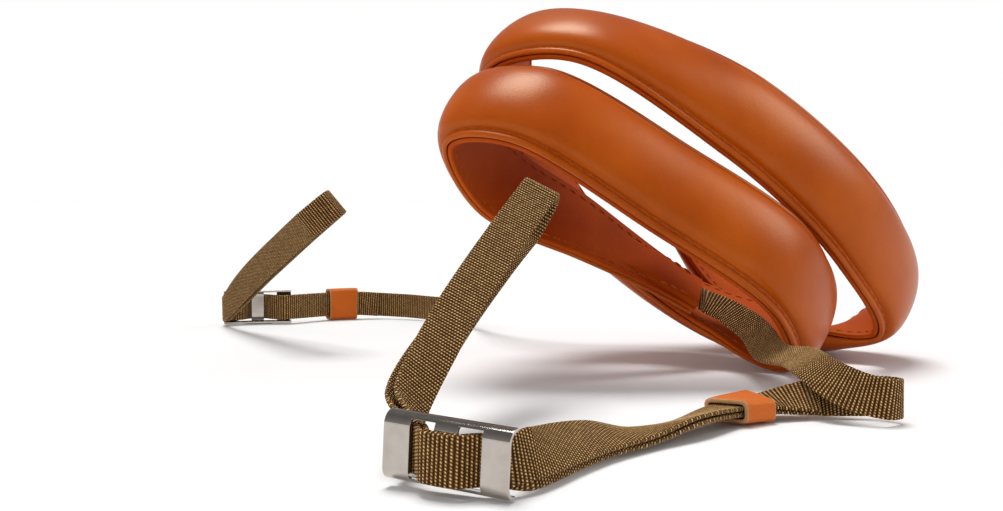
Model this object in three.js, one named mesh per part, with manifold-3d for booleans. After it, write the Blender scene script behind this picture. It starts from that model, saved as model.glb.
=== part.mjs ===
// Coiled camera strap: a padded leather strip wound about two turns, with a webbing tail,
// a leather keeper and a plated three-bar slider on each end. Millimetres, +Z up, resting on z = 0.
import * as THREE from 'three';
import { mergeVertices } from 'three/addons/utils/BufferGeometryUtils.js';
import Module from 'manifold-3d';

const wasm = await Module();
wasm.setup();
const rad = THREE.MathUtils.degToRad;
const { lerp, smoothstep } = THREE.MathUtils;

// Driving dimensions
const GAP = 0.3;
const PAD = {
  width: 32, tipWidth: 14, taper: 75,
  edge: 1.5, margin: 2.8, crown: 5, tipCrown: 0.4, crownFacets: 6, crownPower: 0.8,
  back: 1.5, step: 6.5,
};
const WEBBING = { width: 9.8, thick: 1.1, step: 4, sewnStations: 2, lead: 4 };
const POCKET = { clear: 0.45, full: 15, closed: 30 };
const KEEPER = { wall: 1, height: 10.8, opening: 3.5 };
const SLIDER = {
  length: 26.9, height: 13.4, depth: 3.2, sheet: 0.8, corner: 2.7, bendSegments: 5,
  endBar: 5.8, middleBar: 5, windowHeight: 11.4, webbingDrop: 0.2,
};

// The coil's own frame: x runs to the right bend, y to the back turn and z up through the loop.
const COIL = { x: 47, y: 379, z: 56, lean: rad(47), tilt: rad(33), yaw: rad(2) };

// Stations along the leather strip in that frame; roll turns its width about the path, in degrees.
const COIL_STATIONS = [
  { at: 'near end', x: 30, y: -9, z: -21.5, roll: 6 },
  { at: 'near end, lower run', x: -10, y: -14, z: -17.9, roll: 5 },
  { at: 'front turn, into left bend', x: -44, y: -17, z: -17, roll: 6 },
  { at: 'front turn, left bend', x: -60, y: -17, z: -0.5, roll: 2 },
  { at: 'front turn, out of left bend', x: -46, y: -17, z: 15, roll: 5 },
  { at: 'front turn, upper run', x: 0, y: -17, z: 18.5, roll: 9 },
  { at: 'front turn, into right bend', x: 42, y: -15.5, z: 15.5, roll: 9 },
  { at: 'front turn, right bend', x: 61, y: -9, z: -5.5, roll: -1 },
  { at: 'front turn, out of right bend', x: 46, y: -2, z: -27.3, roll: 22 },
  { at: 'middle lower run', x: 0, y: 9.5, z: -40.8, roll: 32 },
  { at: 'back turn, into left bend', x: -46, y: 17, z: -23, roll: 10 },
  { at: 'back turn, left bend', x: -59, y: 16.5, z: 1, roll: -10 },
  { at: 'back turn, out of left bend', x: -43, y: 17, z: 19, roll: -14 },
  { at: 'back turn, upper run', x: 8, y: 19, z: 26, roll: 10 },
  { at: 'back turn, into right bend', x: 60, y: 18.5, z: 15.5, roll: 14 },
  { at: 'back turn, right bend', x: 87, y: 22, z: -7, roll: 6 },
  { at: 'back turn, out of right bend', x: 74, y: 19, z: -35.3, roll: 48 },
  { at: 'back turn, lower run', x: 46, y: 30, z: -45.5, roll: 22 },
  { at: 'far end, lower run', x: 12, y: 43, z: -42, roll: 12 },
  { at: 'far end', x: -18, y: 44.8, z: -44, roll: 12 },
];

// Webbing routes: lean is the width's angle from upright in degrees. Of the doubled layers, spread is the
// distance between them and slip how much lower the rear one lies.
// single runs from the leather to the keeper, doubled on to the slider, and lug from the slider to the loop.
const TAILS = {
  near: {
    single: [
      { at: 'inside the coil', x: 70, y: 386, z: 17.8, lean: -62 },
      { at: 'under the right bend', x: 75.8, y: 375, z: 13.5, lean: -63 },
      { at: 'out of the coil', x: 76.2, y: 352, z: 9.7, lean: -65 },
      { at: 'toward its return', x: 78.2, y: 328, z: 11.6, lean: -62 },
      { at: 'over its return', x: 77.5, y: 308, z: 12, lean: -58 },
      { at: 'down in front', x: 80.5, y: 299, z: 9.8, lean: -35 },
      { at: 'into the fold', x: 86, y: 294.5, z: 7.6, lean: -10 },
      { at: 'fold, front', x: 92, y: 293, z: 6.4, lean: 0 },
      { at: 'fold', x: 95.8, y: 297, z: 6, lean: 0 },
      { at: 'fold, back', x: 92, y: 301.5, z: 5.8, lean: 8 },
      { at: 'return', x: 85, y: 303.8, z: 5.2, lean: 26 },
    ],
    doubled: [
      { at: 'free end', x: 77, y: 304.8, z: 5, lean: 46, spread: 1.4 },
      { at: 'toward the keeper', x: 70, y: 304, z: 4.3, lean: 66, spread: 1.4 },
      { at: 'keeper, far mouth', x: 63, y: 302, z: 3.5, lean: 85, spread: 1.4 },
      { at: 'keeper, near mouth', x: 53.4, y: 295.2, z: 3.3, lean: 94, spread: 1.4 },
      { at: 'flat stretch', x: 42, y: 281.2, z: 3.1, lean: 107, spread: 1.4 },
      { at: 'tipping up', x: 31, y: 271, z: 2.5, lean: 90, spread: 1.4 },
      { at: 'turning upright', x: 21, y: 259.5, z: 4.2, lean: 61, spread: 1.4, slip: 0.3 },
      { at: 'leaning', x: 13, y: 246, z: 5.3, lean: 43, spread: 1.4, slip: 0.9 },
      { at: 'nearly upright', x: 8.8, y: 237, z: 5.9, lean: 30, spread: 1.4, slip: 1.3 },
      { at: 'out of the slider', x: 5, y: 229.8, z: 6.4, lean: 16, spread: 1.4, slip: 1.9 },
    ],
    slider: { x: -10.55, y: 226.8, z: 7.6, yaw: rad(-28), pitch: rad(3), sense: 1 },
    lug: [
      { at: 'behind the slider', x: -19.4, y: 252, z: 12.5, lean: -36, spread: 2.6 },
      { at: 'lower third', x: -12, y: 278, z: 25.5, lean: -58, spread: 6.5 },
      { at: 'upper third', x: -0.3, y: 306, z: 41, lean: -60, spread: 11 },
      { at: 'loop', x: 7.8, y: 325, z: 50.5, lean: -60, spread: 15 },
    ],
  },
  far: {
    single: [
      { at: 'past the tip', x: 15, y: 445, z: 71, lean: 58 },
      { at: 'falling', x: 3, y: 455, z: 55, lean: 40 },
      { at: 'lower', x: -6, y: 473, z: 24, lean: 25 },
      { at: 'down to the floor', x: -11, y: 490, z: 8.5, lean: 12 },
      { at: 'along the floor', x: -20, y: 507, z: 5.7, lean: 4 },
      { at: 'turning left', x: -40, y: 523, z: 5.7, lean: 0 },
    ],
    doubled: [
      { at: 'free end', x: -52, y: 526, z: 6, lean: 0, spread: 1.4 },
      { at: 'keeper, far mouth', x: -61, y: 524.5, z: 6.6, lean: 0, spread: 1.4 },
      { at: 'keeper, near mouth', x: -72.5, y: 520, z: 6.6, lean: 0, spread: 1.4 },
    ],
    slider: { x: -99.5, y: 508, z: 7, yaw: rad(192), pitch: 0, sense: -1 },
    lug: [
      { at: 'behind the slider', x: -105, y: 488, z: 11.5, lean: 8, spread: 2 },
      { at: 'lower third', x: -92, y: 468, z: 23, lean: 22, spread: 5 },
      { at: 'upper third', x: -73, y: 441, z: 38, lean: 30, spread: 10 },
      { at: 'loop', x: -61, y: 424, z: 47, lean: 32, spread: 15 },
    ],
  },
};

// Middle of the two layers through the slider, in its own frame: along its length and out of its face
const THREADING = [
  { along: 10.4, out: -4.4 },
  { along: 8.6, out: -3.6 },
  { along: 7.2, out: -2.95 },
  { along: 6, out: -1.85 },
  { along: 4.9, out: -0.45 },
  { along: 3.9, out: 0.85 },
  { along: 2.9, out: 1.65 },
  { along: 1.6, out: 1.95 },
  { along: 0, out: 2 },
  { along: -1.6, out: 1.95 },
  { along: -2.9, out: 1.65 },
  { along: -3.9, out: 0.85 },
  { along: -4.9, out: -0.45 },
  { along: -6, out: -1.85 },
  { along: -7.2, out: -2.95 },
  { along: -8.8, out: -3.35 },
  { along: -10.6, out: -3.5 },
  { along: -12, out: -4.2 },
  { along: -12.8, out: -5.8 },
  { along: -12.7, out: -8 },
];

const UP = new THREE.Vector3(0, 0, 1);
const LEATHER = { color: 0xb0561f, roughness: 0.5, metalness: 0 };
const BACKING = { color: 0x7a3216, roughness: 0.6, metalness: 0 };
const WOVEN = { color: 0x6f5a3a, roughness: 0.85, metalness: 0 };
const NICKEL = { color: 0xc9c2ba, roughness: 0.25, metalness: 1 };

const strap = new THREE.Group();

function addPiece(name, geometry, finish) {
  const mesh = new THREE.Mesh(geometry, new THREE.MeshStandardMaterial(finish));
  mesh.name = name;
  strap.add(mesh);
  return mesh;
}

function geometryFrom(points, triangles) {
  const geometry = new THREE.BufferGeometry();
  geometry.setAttribute('position', new THREE.Float32BufferAttribute(points.flatMap((p) => p.toArray()), 3));
  geometry.setIndex(triangles);
  geometry.computeVertexNormals();
  return geometry;
}

// Side faces between neighbouring rings of equal size, whose points start at the given index.
// A turned pair of rings is cut along its other diagonals, so that surfaces laid face to face match.
function sideFaces(start, rings, count, turned = () => false) {
  const triangles = [];
  for (let i = 0; i + 1 < rings; i += 1) {
    for (let k = 0; k < count; k += 1) {
      const a = start + i * count + k;
      const b = start + i * count + ((k + 1) % count);
      const [c, d] = [a + count, b + count];
      triangles.push(...(turned(i) ? [a, c, d, a, d, b] : [a, c, b, b, c, d]));
    }
  }
  return triangles;
}

// Closed bar: one ring of section points at each station, with flat ends
function bar(stations, ringAt, turned) {
  const rings = stations.map(ringAt);
  const count = rings[0].length;
  const triangles = sideFaces(0, rings.length, count, turned);
  const last = (rings.length - 1) * count;
  for (let k = 1; k + 1 < count; k += 1) {
    triangles.push(0, k, k + 1, last, last + k + 1, last + k);
  }
  return geometryFrom(rings.flat(), triangles);
}

// Closed sleeve: an outer and an inner ring at each station, joined by flat rims
function sleeve(stations, outerAt, innerAt) {
  const outer = stations.map(outerAt);
  const inner = stations.map(innerAt);
  const count = outer[0].length;
  const size = stations.length * count;
  const inside = sideFaces(size, stations.length, count).reverse();
  const triangles = [...sideFaces(0, stations.length, count), ...inside];
  const last = size - count;
  for (let k = 0; k < count; k += 1) {
    const next = (k + 1) % count;
    triangles.push(k, next, size + k, next, size + next, size + k);
    triangles.push(last + k, size + last + k, last + next, last + next, size + last + k, size + last + next);
  }
  return geometryFrom([...outer.flat(), ...inner.flat()], triangles);
}

// Point of a station's section: across its width and out along its normal
function sectionPoint(station, across, out) {
  return station.point.clone().addScaledVector(station.across, across).addScaledVector(station.normal, out);
}

// Rectangular section, in the order that faces outwards
function rectangle(station, width, low, high) {
  const half = width / 2;
  const corners = [[-half, low], [-half, high], [half, high], [half, low]];
  return corners.map(([across, out]) => sectionPoint(station, across, out));
}

function frameFrom(point, tangent, acrossHint) {
  const across = acrossHint.clone().addScaledVector(tangent, -acrossHint.dot(tangent)).normalize();
  const normal = new THREE.Vector3().crossVectors(tangent, across).normalize();
  return { point, tangent, across, normal };
}

// Stations on a smooth curve through the controls, no further apart than maxStep
function stationsAlong(controls, maxStep) {
  const points = controls.map((control) => control.point);
  const curve = new THREE.CatmullRomCurve3(points);
  const widths = new THREE.CatmullRomCurve3(controls.map((control) => control.across));
  const spreads = controls.map((control) => control.spread ?? 0);
  const slips = controls.map((control) => control.slip ?? 0);
  const stations = [];
  const segments = controls.length - 1;
  for (let k = 0; k < segments; k += 1) {
    const pieces = Math.ceil(points[k].distanceTo(points[k + 1]) / maxStep);
    for (let i = 0; i < pieces + (k === segments - 1 ? 1 : 0); i += 1) {
      const t = (k + i / pieces) / segments;
      const station = frameFrom(curve.getPoint(t), curve.getTangent(t), widths.getPoint(t));
      const spread = lerp(spreads[k], spreads[k + 1], i / pieces);
      const slip = lerp(slips[k], slips[k + 1], i / pieces);
      stations.push({ ...station, spread, slip, row: k + i / pieces, returning: controls[k].returning });
    }
  }
  let length = 0;
  stations.forEach((station, index) => {
    length += index ? station.point.distanceTo(stations[index - 1].point) : 0;
    station.along = length;
  });
  return { stations, length };
}

// Controls from a table: the width hint is turned about each row's own direction by the row's angle
function controlsFrom(rows, points, hint, angleOf, neighbours = [[], []]) {
  const all = [...neighbours[0], ...points, ...neighbours[1]];
  return rows.map((row, index) => {
    const place = index + neighbours[0].length;
    const previous = all[Math.max(place - 1, 0)];
    const next = all[Math.min(place + 1, all.length - 1)];
    const frame = frameFrom(points[index], next.clone().sub(previous).normalize(), hint);
    const across = frame.across.clone().applyAxisAngle(frame.tangent, rad(angleOf(row)));
    return { point: points[index], across, spread: row.spread, slip: row.slip };
  });
}

function pointOf(row) {
  return new THREE.Vector3(row.x, row.y, row.z);
}

// Padded leather strip: a crowned face leather over its padding, and a flat backing leather
const coilTurn = new THREE.Euler(COIL.lean, COIL.tilt, COIL.yaw, 'ZYX');
const coilFrame = new THREE.Matrix4().makeRotationFromEuler(coilTurn);
coilFrame.setPosition(COIL.x, COIL.y, COIL.z);
const coilAxis = new THREE.Vector3(0, 1, 0).transformDirection(coilFrame);
const coilPoints = COIL_STATIONS.map((row) => pointOf(row).applyMatrix4(coilFrame));
const pad = stationsAlong(controlsFrom(COIL_STATIONS, coilPoints, coilAxis, (row) => row.roll), PAD.step);

function fromTip(station) {
  return Math.min(station.along, pad.length - station.along);
}

function padWidth(station) {
  return lerp(PAD.tipWidth, PAD.width, smoothstep(fromTip(station), 0, PAD.taper));
}

function padFaceRing(station) {
  const half = padWidth(station) / 2;
  const crown = lerp(PAD.tipCrown, PAD.crown, smoothstep(fromTip(station), 0, PAD.taper));
  const section = [[-half, 0], [-half, PAD.edge]];
  for (let k = 0; k <= PAD.crownFacets; k += 1) {
    const angle = Math.PI * (1 - k / PAD.crownFacets);
    const rise = crown * Math.sin(angle) ** PAD.crownPower;
    section.push([(half - PAD.margin) * Math.cos(angle), PAD.edge + rise]);
  }
  section.push([half, PAD.edge], [half, 0]);
  return section.map(([across, out]) => sectionPoint(station, across, out));
}

// The backing parts from the face at the tips, where the webbing is sewn in between
function padBackRing(station) {
  const parting = 1 - smoothstep(fromTip(station), POCKET.full, POCKET.closed);
  const top = lerp(-GAP, -2 * POCKET.clear - WEBBING.thick, parting);
  return rectangle(station, padWidth(station), top - PAD.back, top);
}

addPiece('pad_face', bar(pad.stations, padFaceRing), LEATHER);
addPiece('pad_back', bar(pad.stations, padBackRing, () => true), BACKING);

// Three-bar slider: a folded channel with two windows that leave a rail along each bend
function solidFrom(geometry) {
  const bare = geometry.clone();
  bare.deleteAttribute('normal');
  bare.deleteAttribute('uv');
  const merged = mergeVertices(bare);
  return new wasm.Manifold(new wasm.Mesh({
    numProp: 3,
    vertProperties: new Float32Array(merged.getAttribute('position').array),
    triVerts: new Uint32Array(merged.getIndex().array),
  }));
}

function sliderGeometry() {
  const { length, height, depth, sheet, corner, bendSegments, endBar, middleBar, windowHeight } = SLIDER;
  const top = height / 2;
  const inner = corner - sheet;
  const profile = new THREE.Shape();
  profile.moveTo(depth, top);
  profile.lineTo(corner, top);
  profile.absarc(corner, top - corner, corner, Math.PI / 2, Math.PI, false);
  profile.lineTo(0, corner - top);
  profile.absarc(corner, corner - top, corner, Math.PI, 1.5 * Math.PI, false);
  profile.lineTo(depth, -top);
  profile.lineTo(depth, sheet - top);
  profile.lineTo(corner, sheet - top);
  profile.absarc(corner, corner - top, inner, 1.5 * Math.PI, Math.PI, true);
  profile.lineTo(sheet, top - corner);
  profile.absarc(corner, top - corner, inner, Math.PI, Math.PI / 2, true);
  profile.lineTo(depth, top - sheet);
  profile.closePath();
  const extrusion = { depth: length, bevelEnabled: false, curveSegments: bendSegments };
  const channel = new THREE.ExtrudeGeometry(profile, extrusion);
  channel.translate(0, 0, -length / 2);
  // Profile axes (back, up) and the extrusion become y, z and x.
  channel.applyMatrix4(new THREE.Matrix4().set(0, 0, 1, 0, 1, 0, 0, 0, 0, 1, 0, 0, 0, 0, 0, 1));
  let solid = solidFrom(channel);
  const window = (length - 2 * endBar - middleBar) / 2;
  for (const side of [-1, 1]) {
    const cut = new THREE.BoxGeometry(window, 4 * depth, windowHeight);
    cut.translate(side * (middleBar + window) / 2, 0, 0);
    solid = solid.subtract(solidFrom(cut));
  }
  const mesh = solid.getMesh();
  const points = [];
  for (let i = 0; i < mesh.vertProperties.length; i += mesh.numProp) {
    points.push(new THREE.Vector3().fromArray(mesh.vertProperties, i));
  }
  return geometryFrom(points, Array.from(mesh.triVerts));
}

// One webbing tail with its keeper and slider, sewn into the leather tip whose stations are given
function addTail(name, tipStations) {
  const table = TAILS[name];
  const sliderMesh = addPiece(`${name}_slider`, sliderGeometry(), NICKEL);
  sliderMesh.position.set(table.slider.x, table.slider.y, table.slider.z);
  sliderMesh.rotation.set(0, table.slider.pitch, table.slider.yaw, 'ZYX');
  sliderMesh.updateMatrix();

  const threaded = THREADING.map((row) => ({ ...row, lean: 0, spread: table.doubled[0].spread }));
  const sense = table.slider.sense;
  const threadedPoints = threaded.map((row) => (
    new THREE.Vector3(row.along * sense, -row.out, -SLIDER.webbingDrop).applyMatrix4(sliderMesh.matrix)
  ));
  const stackRows = [...table.doubled, ...threaded, ...table.lug];
  const stackPoints = [...table.doubled.map(pointOf), ...threadedPoints, ...table.lug.map(pointOf)];
  const stackControls = controlsFrom(stackRows, stackPoints, UP, (row) => row.lean);
  const stack = stationsAlong(stackControls, WEBBING.step).stations;

  const layer = (station, side) => ({
    point: sectionPoint(station, (-side * station.slip) / 2, (side * station.spread) / 2),
    across: station.across,
    returning: side < 0,
  });
  const rear = stack.map((station) => layer(station, 1));
  const front = stack.map((station) => layer(station, -1)).reverse();
  const end = stack[stack.length - 1];
  const apex = { point: end.point.clone().addScaledVector(end.tangent, end.spread / 2), across: end.across };

  const pocket = tipStations.map((station) => ({
    point: sectionPoint(station, 0, -POCKET.clear - WEBBING.thick / 2),
    across: station.across,
  }));
  const tip = pocket[pocket.length - 1];
  const outward = tip.point.clone().sub(pocket[pocket.length - 2].point).normalize();
  pocket.push({ point: tip.point.clone().addScaledVector(outward, WEBBING.lead), across: tip.across });
  const singlePoints = table.single.map(pointOf);
  const beside = [[pocket[pocket.length - 1].point], [rear[0].point]];
  const single = controlsFrom(table.single, singlePoints, UP, (row) => row.lean, beside);
  const { stations } = stationsAlong([...pocket, ...single, ...rear, apex, ...front], WEBBING.step);
  const ring = (station) => rectangle(station, WEBBING.width, -WEBBING.thick / 2, WEBBING.thick / 2);
  const returning = (index) => stations[index].returning;
  addPiece(`${name}_webbing`, bar(stations, ring, returning), WOVEN);

  // The keeper sleeve follows the doubled webbing between its two mouth rows.
  const mouths = table.doubled.findIndex((row) => row.at === 'keeper, far mouth');
  const held = stack.filter((station) => station.row >= mouths && station.row <= mouths + 1);
  const { wall, height, opening } = KEEPER;
  const outer = (station) => rectangle(station, height + 2 * wall, -opening / 2 - wall, opening / 2 + wall);
  const inner = (station) => rectangle(station, height, -opening / 2, opening / 2);
  addPiece(`${name}_keeper`, sleeve(held, outer, inner), LEATHER);
}

const tipCount = WEBBING.sewnStations + 1;
addTail('near', pad.stations.slice(0, tipCount).reverse());
addTail('far', pad.stations.slice(-tipCount));

// The origin is the middle of the footprint, on the surface that the strap rests on.
strap.updateMatrixWorld(true);
const box = new THREE.Box3().setFromObject(strap, true);
const middle = box.getCenter(new THREE.Vector3());
strap.position.set(-middle.x, -middle.y, -box.min.z);

export default strap;
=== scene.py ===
# %% [markdown]
# # Dressing a coiled leather strap
#
# The strap is a padded strip of saddle leather, wound about two turns, with a tail of woven webbing on
# each end. A tail passes through a leather keeper and a plated three-bar slider and turns back on itself.
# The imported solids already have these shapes. This lesson builds finer pieces over the same routes, gives
# them leather, woven cloth and plated metal, and sets a plain studio around them.

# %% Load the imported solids
import math
from types import SimpleNamespace

import bpy
import numpy as np
from mathutils import Matrix, Vector


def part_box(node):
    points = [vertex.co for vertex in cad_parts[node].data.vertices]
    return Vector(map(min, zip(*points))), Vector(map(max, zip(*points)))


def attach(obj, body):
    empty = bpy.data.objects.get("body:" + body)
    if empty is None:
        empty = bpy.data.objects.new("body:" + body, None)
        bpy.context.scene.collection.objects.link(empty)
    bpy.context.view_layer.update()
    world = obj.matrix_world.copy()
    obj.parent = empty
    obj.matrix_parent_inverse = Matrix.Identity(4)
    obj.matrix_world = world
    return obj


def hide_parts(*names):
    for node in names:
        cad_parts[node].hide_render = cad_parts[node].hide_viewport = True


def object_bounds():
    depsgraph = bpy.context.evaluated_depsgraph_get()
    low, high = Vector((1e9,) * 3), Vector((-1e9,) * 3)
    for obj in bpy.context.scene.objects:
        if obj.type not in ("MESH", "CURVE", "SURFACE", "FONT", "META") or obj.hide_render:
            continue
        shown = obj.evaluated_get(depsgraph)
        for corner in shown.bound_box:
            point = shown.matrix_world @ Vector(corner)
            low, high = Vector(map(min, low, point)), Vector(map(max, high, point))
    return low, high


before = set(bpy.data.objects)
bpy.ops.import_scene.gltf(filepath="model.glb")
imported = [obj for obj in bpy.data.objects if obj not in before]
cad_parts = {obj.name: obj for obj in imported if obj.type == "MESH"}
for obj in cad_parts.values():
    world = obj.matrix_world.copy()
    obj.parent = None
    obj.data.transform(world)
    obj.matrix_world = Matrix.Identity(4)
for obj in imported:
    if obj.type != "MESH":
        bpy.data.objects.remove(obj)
cad_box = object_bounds()
print("solids:", ", ".join(sorted(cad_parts)))

# %% [markdown]
# ## One frame for everything
#
# All routes below are in millimetres, in the photograph's own frame: x to the right, y away from the
# viewpoint and z up from the table, with the viewpoint straight above the origin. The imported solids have
# their origin under the middle of the strap instead. The far slider stands square on the table, so the
# middle of its box tells how far apart the two origins are, and nothing has to be fitted by eye.

# %% From the photograph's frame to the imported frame
MM = 0.001
SLIDER = SimpleNamespace(length=26.9, height=13.4, depth=3.2, sheet=0.8, corner=2.7,
                         end_bar=5.8, middle_bar=5.0, window_height=11.4, webbing_drop=0.2)
SLIDER_PLACE = {
    "near": SimpleNamespace(at=(-10.55, 226.8, 7.6), yaw=-28.0, pitch=3.0, sense=1),
    "far": SimpleNamespace(at=(-99.5, 508.0, 7.0), yaw=192.0, pitch=0.0, sense=-1),
}
TAILS = tuple(SLIDER_PLACE)


def slider_matrix(tail):
    place = SLIDER_PLACE[tail]
    yaw = Matrix.Rotation(math.radians(place.yaw), 4, "Z")
    pitch = Matrix.Rotation(math.radians(place.pitch), 4, "Y")
    return Matrix.Translation(place.at) @ (yaw @ pitch)


low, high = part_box("far_slider")
far_middle = slider_matrix("far") @ Vector((0.0, SLIDER.depth / 2, 0.0))
FROM_PHOTO = np.array((low + high) / 2 / MM - far_middle)


def in_metres(points):
    return (np.asarray(points, float) + FROM_PHOTO) * MM


print("packed origin from the photograph's, mm:", FROM_PHOTO.round(2))

# %% [markdown]
# ## The viewpoint
#
# The photograph was taken from just above the table, looking slightly down. Its horizon and the spread of
# its parallel edges give the height of the eye and the focal length. Both are kept without any shift of the
# picture, so that the render can be laid over the photograph.

# %% Viewpoint of the photograph
IMAGE_WIDTH, IMAGE_HEIGHT = 1003, 511
FOCAL_PIXELS = 1250.0
HORIZON_ROW = 181.0
EYE_HEIGHT = 58.0
SENSOR = 36.0
NEAREST = 0.01

camera_data = bpy.data.cameras.new("viewpoint")
camera_data.sensor_fit = "HORIZONTAL"
camera_data.sensor_width = SENSOR
camera_data.lens = SENSOR * FOCAL_PIXELS / IMAGE_WIDTH
camera_data.clip_start = NEAREST
camera = bpy.data.objects.new("viewpoint", camera_data)
camera.location = in_metres((0.0, 0.0, EYE_HEIGHT))
look_down = math.atan2(IMAGE_HEIGHT / 2 - HORIZON_ROW, FOCAL_PIXELS)
camera.rotation_euler = (math.pi / 2 - look_down, 0.0, 0.0)
bpy.context.scene.collection.objects.link(camera)
bpy.context.scene.camera = camera
print("focal length", round(camera_data.lens, 2), "mm, down", round(math.degrees(look_down), 2), "degrees")

# %% [markdown]
# ## Routes
#
# A strap is a line with a width. Each table row is one point of that line, and an angle turns the width
# about the line's own direction. A smooth curve through the rows then gives as many stations as a piece
# needs, each with a heading, a width direction and an outward normal. The tables and the curve are those
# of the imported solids, so each dressed piece lies exactly where its solid lies.

# %% A smooth curve through table rows
SAME_POINT = 1e-4


def unit(vectors):
    return vectors / np.linalg.norm(vectors, axis=-1, keepdims=True)


def across_heading(hint, heading):
    return unit(hint - heading * (hint * heading).sum(axis=-1, keepdims=True))


def curve_through(points, rows):
    """Place and heading of the centripetal Catmull-Rom curve through the points, at fractional rows."""
    line = np.vstack([2 * points[0] - points[1], points, 2 * points[-1] - points[-2]])
    first = np.clip(np.floor(rows).astype(int), 0, len(points) - 2)
    part = (rows - first)[:, None]
    p0, p1, p2, p3 = (line[first + k] for k in range(4))
    pairs = (p0, p1), (p1, p2), (p2, p3)
    spans = [np.sqrt(np.linalg.norm(b - a, axis=1))[:, None] for a, b in pairs]
    d1 = np.where(spans[1] < SAME_POINT, 1.0, spans[1])
    d0 = np.where(spans[0] < SAME_POINT, d1, spans[0])
    d2 = np.where(spans[2] < SAME_POINT, d1, spans[2])
    leave = ((p1 - p0) / d0 - (p2 - p0) / (d0 + d1) + (p2 - p1) / d1) * d1
    arrive = ((p2 - p1) / d1 - (p3 - p1) / (d1 + d2) + (p3 - p2) / d2) * d1
    square = -3 * p1 + 3 * p2 - 2 * leave - arrive
    cube = 2 * p1 - 2 * p2 + leave + arrive
    place = p1 + part * (leave + part * (square + part * cube))
    return place, leave + part * (2 * square + part * 3 * cube)


def route_at(points, widths, rows):
    """Stations at the given row numbers: place, heading, width direction, normal and length so far."""
    place, heading = curve_through(points, rows)
    heading = unit(heading)
    wide = across_heading(curve_through(widths, rows)[0], heading)
    steps = np.linalg.norm(np.diff(place, axis=0), axis=1)
    return SimpleNamespace(rows=rows, place=place, heading=heading, wide=wide, out=np.cross(heading, wide),
                           along=np.concatenate([[0.0], np.cumsum(steps)]))


def rows_along(points, step):
    """Row numbers that divide each span of a table into equal parts no longer than step."""
    parts = np.ceil(np.linalg.norm(np.diff(points, axis=0), axis=1) / step).astype(int)
    rows = [k + np.arange(count) / count for k, count in enumerate(parts)]
    return np.concatenate(rows + [[len(points) - 1.0]])


def turned_widths(points, hint, angles, before=None, after=None):
    """Width direction of each row: the hint, turned about the row's own heading by its angle in degrees."""
    line = np.vstack([end for end in (before, points, after) if end is not None])
    index = np.arange(len(points)) + (0 if before is None else 1)
    heading = unit(line[np.minimum(index + 1, len(line) - 1)] - line[np.maximum(index - 1, 0)])
    flat = across_heading(np.broadcast_to(hint, points.shape), heading)
    turn = np.radians(angles)[:, None]
    return flat * np.cos(turn) + np.cross(heading, flat) * np.sin(turn)


def section_points(route, across, out):
    """Points of every station's section, from a row of across and of out for each station."""
    across = np.broadcast_to(across, (len(route.place), np.shape(across)[-1]))
    out = np.broadcast_to(out, across.shape)
    sideways = route.wide[:, None] * across[..., None]
    outward = route.out[:, None] * out[..., None]
    return route.place[:, None] + sideways + outward


print("curve helpers ready")

# %% [markdown]
# ## The coil
#
# The coil leans back over its own lower run, so its rows are in a frame of its own that is turned and then
# set down in the photograph's frame. The strip starts at its near end inside the coil, goes round the front
# turn, then the larger back turn, and ends inside again.

# %% Route of the padded strip
PAD = SimpleNamespace(width=32.0, tip_width=14.0, taper=75.0, edge=1.5, margin=2.8, crown=5.0,
                      tip_crown=0.4, back=1.5, step=1.6, solid_step=6.5)
GAP = 0.3
COIL_AT = (47.0, 379.0, 56.0)
COIL_LEAN, COIL_TILT, COIL_YAW = (math.radians(angle) for angle in (47.0, 33.0, 2.0))

# Columns: x to the right bend, y to the back turn, z up through the loop, roll of the width in degrees
COIL_ROWS = np.array([
    (30, -9, -21.5, 6),
    (-10, -14, -17.9, 5),
    (-44, -17, -17, 6),
    (-60, -17, -0.5, 2),
    (-46, -17, 15, 5),
    (0, -17, 18.5, 9),
    (42, -15.5, 15.5, 9),
    (61, -9, -5.5, -1),
    (46, -2, -27.3, 22),
    (0, 9.5, -40.8, 32),
    (-46, 17, -23, 10),
    (-59, 16.5, 1, -10),
    (-43, 17, 19, -14),
    (8, 19, 26, 10),
    (60, 18.5, 15.5, 14),
    (87, 22, -7, 6),
    (74, 19, -35.3, 48),
    (46, 30, -45.5, 22),
    (12, 43, -42, 12),
    (-18, 44.8, -44, 12),
])
coil_turn = np.array(Matrix.Rotation(COIL_YAW, 3, "Z") @ Matrix.Rotation(COIL_TILT, 3, "Y")
                     @ Matrix.Rotation(COIL_LEAN, 3, "X"))
coil_points = COIL_ROWS[:, :3] @ coil_turn.T + COIL_AT
coil_widths = turned_widths(coil_points, coil_turn @ (0.0, 1.0, 0.0), COIL_ROWS[:, 3])
strip = route_at(coil_points, coil_widths, rows_along(coil_points, PAD.step))
strip_solid = route_at(coil_points, coil_widths, rows_along(coil_points, PAD.solid_step))
stations = len(strip.rows)


def smooth(value, start, end):
    share = np.clip((value - start) / (end - start), 0.0, 1.0)
    return share * share * (3 - 2 * share)


def mix(a, b, share):
    return a + (b - a) * share


from_tip = np.minimum(strip.along, strip.along[-1] - strip.along)
taper = smooth(from_tip, 0.0, PAD.taper)
half_width = mix(PAD.tip_width, PAD.width, taper) / 2
print("leather strip", round(strip.along[-1], 1), "mm long,", stations, "stations")

# %% [markdown]
# ## The webbing tails
#
# Each tail leaves the leather single, is doubled from its keeper through the slider to a loop, and comes
# back. The doubled stretch is one middle line, and the two layers lie half the spread to each side of it.
# Where the stretch tips over, its rear layer slips a little lower. Through the slider the line dips behind
# the end bars and rises over the middle bar.

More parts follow.
